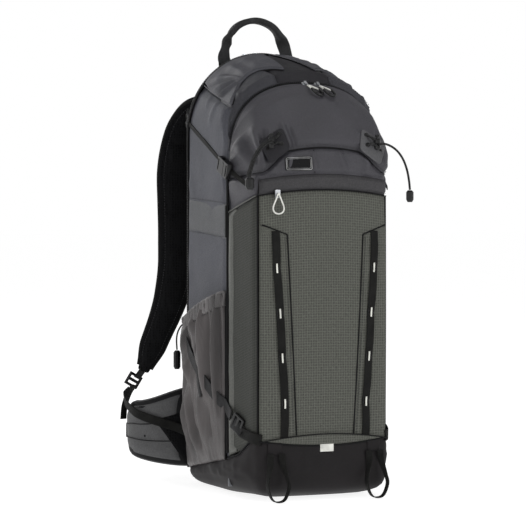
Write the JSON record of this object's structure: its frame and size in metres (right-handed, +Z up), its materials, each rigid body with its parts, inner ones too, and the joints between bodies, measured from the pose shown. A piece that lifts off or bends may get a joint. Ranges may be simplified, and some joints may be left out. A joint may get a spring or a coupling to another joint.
{
  "type": "ski backpack",
  "caption": "Tall panel-loading ski pack with domed top pocket, stretch side pockets, hinged padded back panel, contoured harness, hip belt and tool loops.",
  "frame": {"origin": "on the flat face under the rounded bottom that the pack stands on, on the middle line", "axes": "+Z up, -Y out of the front face, +Y towards the wearer, +X to the right seen from the front"},
  "size_m": [0.3902, 0.4975, 0.7405],
  "materials": {
    "slate_fabric": "plain-woven recycled polyester, matt",
    "green_ripstop": "fine grid ripstop, matt",
    "black_fabric": "plain-woven nylon with a soft sheen",
    "base_fabric": "coated heavy nylon, slightly glossy",
    "stretch_fabric": "knitted stretch fabric, gathered",
    "black_webbing": "ribbed woven webbing",
    "grey_webbing": "ribbed woven webbing",
    "air_mesh": "spacer mesh over foam",
    "belt_fabric": "coated fabric over foam",
    "lining": "light lining fabric",
    "zip_tape": "coil zip on woven tape",
    "buckle_plastic": "moulded acetal, satin",
    "pull_rubber": "soft moulded zip pull",
    "shock_cord": "braided elastic cord",
    "zip_metal": "cast and plated zinc",
    "frame_plastic": "polyethylene sheet",
    "stay_aluminium": "bare extruded bar",
    "lock_plastic": "moulded cord lock"
  },
  "bodies": {
    "pack": {"side_panel_left": "slate_fabric", "side_panel_right": "slate_fabric", "top_panel": "black_fabric", "compartment_divider": "lining", "base_panel": "base_fabric", "rear_zipper": "zip_tape", "front_pocket": "green_ripstop", "top_pocket": "black_fabric", "stretch_pocket_left": "stretch_fabric", "stretch_pocket_right": "stretch_fabric", "upper_strap_left": "black_webbing", "upper_strap_right": "black_webbing", "upper_socket_left": "buckle_plastic", "upper_socket_right": "buckle_plastic", "lower_strap_left": "grey_webbing", "lower_strap_right": "grey_webbing", "cord_lock_left": "lock_plastic", "cord_lock_right": "lock_plastic", "tool_cord_left": "shock_cord", "tool_cord_right": "shock_cord", "tool_tab_left": "buckle_plastic", "tool_tab_right": "buckle_plastic", "pocket_cord": "shock_cord", "pocket_tab": "buckle_plastic"},
    "back_door": {"back_panel": "lining", "frame_sheet": "frame_plastic", "frame_stay": "stay_aluminium", "back_pad_left": "air_mesh", "back_pad_right": "air_mesh", "lumbar_pad": "air_mesh", "shoulder_strap_left": "air_mesh", "shoulder_strap_right": "air_mesh", "lower_webbing_left": "black_webbing", "lower_webbing_right": "black_webbing"},
    "belt_left": {"hip_wing_left": "belt_fabric", "belt_socket": "buckle_plastic"},
    "belt_right": {"hip_wing_right": "belt_fabric", "belt_plug": "buckle_plastic"},
    "handle": {"grab_handle": "black_webbing"},
    "adjuster_left": {"strap_adjuster_left": "buckle_plastic"},
    "adjuster_right": {"strap_adjuster_right": "buckle_plastic"},
    "sternum_height": {"sternum_socket": "buckle_plastic"},
    "sternum_clip": {"sternum_plug": "buckle_plastic"},
    "upper_clip_left": {"upper_plug_left": "buckle_plastic"},
    "upper_clip_right": {"upper_plug_right": "buckle_plastic"},
    "ladderlock_left": {"lower_ladderlock_left": "buckle_plastic"},
    "ladderlock_right": {"lower_ladderlock_right": "buckle_plastic"},
    "loop_left": {"tool_loop_left": "black_webbing"},
    "loop_right": {"tool_loop_right": "black_webbing"},
    "plunger_left": {"lock_plunger_left": "lock_plastic"},
    "plunger_right": {"lock_plunger_right": "lock_plastic"},
    "top_zip_left": {"top_slider_left": "zip_metal"},
    "top_zip_right": {"top_slider_right": "zip_metal"},
    "top_tag_left": {"top_pull_left": "pull_rubber"},
    "top_tag_right": {"top_pull_right": "pull_rubber"},
    "rear_zip_left": {"rear_slider_left": "zip_metal"},
    "rear_zip_right": {"rear_slider_right": "zip_metal"},
    "front_zip": {"front_slider": "zip_metal"},
    "front_tag": {"front_pull": "pull_rubber"}
  },
  "joints": [
    {"name": "back_door_hinge", "type": "hinge", "parent": "pack", "child": "back_door", "pos_m": [0, 0.1464, 0.021], "axis": [-1, 0, 0], "range_deg": [0, 90]},
    {"name": "belt_left_hinge", "type": "hinge", "parent": "back_door", "child": "belt_left", "pos_m": [-0.1, 0.176, 0.009], "axis": [0, 0, -1], "range_deg": [0, 35]},
    {"name": "belt_right_hinge", "type": "hinge", "parent": "back_door", "child": "belt_right", "pos_m": [0.1, 0.176, 0.009], "axis": [0, 0, 1], "range_deg": [0, 35]},
    {"name": "handle_hinge", "type": "hinge", "parent": "back_door", "child": "handle", "pos_m": [0, 0.1526, 0.674], "axis": [1, 0, 0], "range_deg": [-75, 45]},
    {"name": "adjuster_left_tilt", "type": "hinge", "parent": "back_door", "child": "adjuster_left", "pos_m": [-0.1645, 0.2621, 0.1637], "axis": [0.8262, 0.3531, -0.4391], "range_deg": [0, 20]},
    {"name": "adjuster_right_tilt", "type": "hinge", "parent": "back_door", "child": "adjuster_right", "pos_m": [0.1645, 0.2621, 0.1637], "axis": [0.8262, -0.3531, 0.4391], "range_deg": [0, 20]},
    {"name": "sternum_height_slide", "type": "slide", "parent": "back_door", "child": "sternum_height", "axis": [0, 0, 1], "range_m": [-0.03, 0.03]},
    {"name": "sternum_clip_slide", "type": "slide", "parent": "sternum_height", "child": "sternum_clip", "axis": [1, 0, 0], "range_m": [0, 0.02]},
    {"name": "upper_clip_left_slide", "type": "slide", "parent": "pack", "child": "upper_clip_left", "axis": [0.06, -0.9146, -0.3998], "range_m": [0, 0.02]},
    {"name": "upper_clip_right_slide", "type": "slide", "parent": "pack", "child": "upper_clip_right", "axis": [-0.06, -0.9146, -0.3998], "range_m": [0, 0.02]},
    {"name": "ladderlock_left_tilt", "type": "hinge", "parent": "pack", "child": "ladderlock_left", "pos_m": [-0.12, -0.0736, 0.1182], "axis": [-0.119, 0.51, -0.8519], "range_deg": [0, 20]},
    {"name": "ladderlock_right_tilt", "type": "hinge", "parent": "pack", "child": "ladderlock_right", "pos_m": [0.12, -0.0736, 0.1182], "axis": [-0.119, -0.51, 0.8519], "range_deg": [0, 20]},
    {"name": "loop_left_swing", "type": "hinge", "parent": "pack", "child": "loop_left", "pos_m": [-0.08, -0.1366, 0.073], "axis": [-1, 0, 0], "range_deg": [0, 75]},
    {"name": "loop_right_swing", "type": "hinge", "parent": "pack", "child": "loop_right", "pos_m": [0.08, -0.1366, 0.073], "axis": [-1, 0, 0], "range_deg": [0, 75]},
    {"name": "plunger_left_press", "type": "slide", "parent": "pack", "child": "plunger_left", "axis": [0, 0, -1], "range_m": [0, 0.0022], "stiffness_N_per_m": 300},
    {"name": "plunger_right_press", "type": "slide", "parent": "pack", "child": "plunger_right", "axis": [0, 0, -1], "range_m": [0, 0.0022], "stiffness_N_per_m": 300},
    {"name": "top_zip_left_run", "type": "hinge", "parent": "pack", "child": "top_zip_left", "pos_m": [0, -0.062, 0.453], "axis": [0, -1, 0], "range_deg": [0, 22]},
    {"name": "top_zip_right_run", "type": "hinge", "parent": "pack", "child": "top_zip_right", "pos_m": [0, -0.062, 0.453], "axis": [0, 1, 0], "range_deg": [0, 14]},
    {"name": "top_tag_left_swing", "type": "hinge", "parent": "top_zip_left", "child": "top_tag_left", "pos_m": [-0.0027, -0.0695, 0.6222], "axis": [-0.9207, -0.3903, 0], "range_deg": [0, 100]},
    {"name": "top_tag_right_swing", "type": "hinge", "parent": "top_zip_right", "child": "top_tag_right", "pos_m": [0.0173, -0.0695, 0.6214], "axis": [-0.9207, -0.3903, 0], "range_deg": [0, 100]},
    {"name": "rear_zip_left_run", "type": "hinge", "parent": "pack", "child": "rear_zip_left", "pos_m": [0, 0.1438, 0.558], "axis": [0, -1, 0], "range_deg": [0, 75]},
    {"name": "rear_zip_right_run", "type": "hinge", "parent": "pack", "child": "rear_zip_right", "pos_m": [0, 0.1438, 0.558], "axis": [0, 1, 0], "range_deg": [0, 80]},
    {"name": "front_zip_run", "type": "slide", "parent": "pack", "child": "front_zip", "axis": [1, 0, 0], "range_m": [0, 0.15]},
    {"name": "front_tag_swing", "type": "hinge", "parent": "front_zip", "child": "front_tag", "pos_m": [-0.077, -0.1394, 0.456], "axis": [-1, 0, 0], "range_deg": [0, 110]}
  ]
}
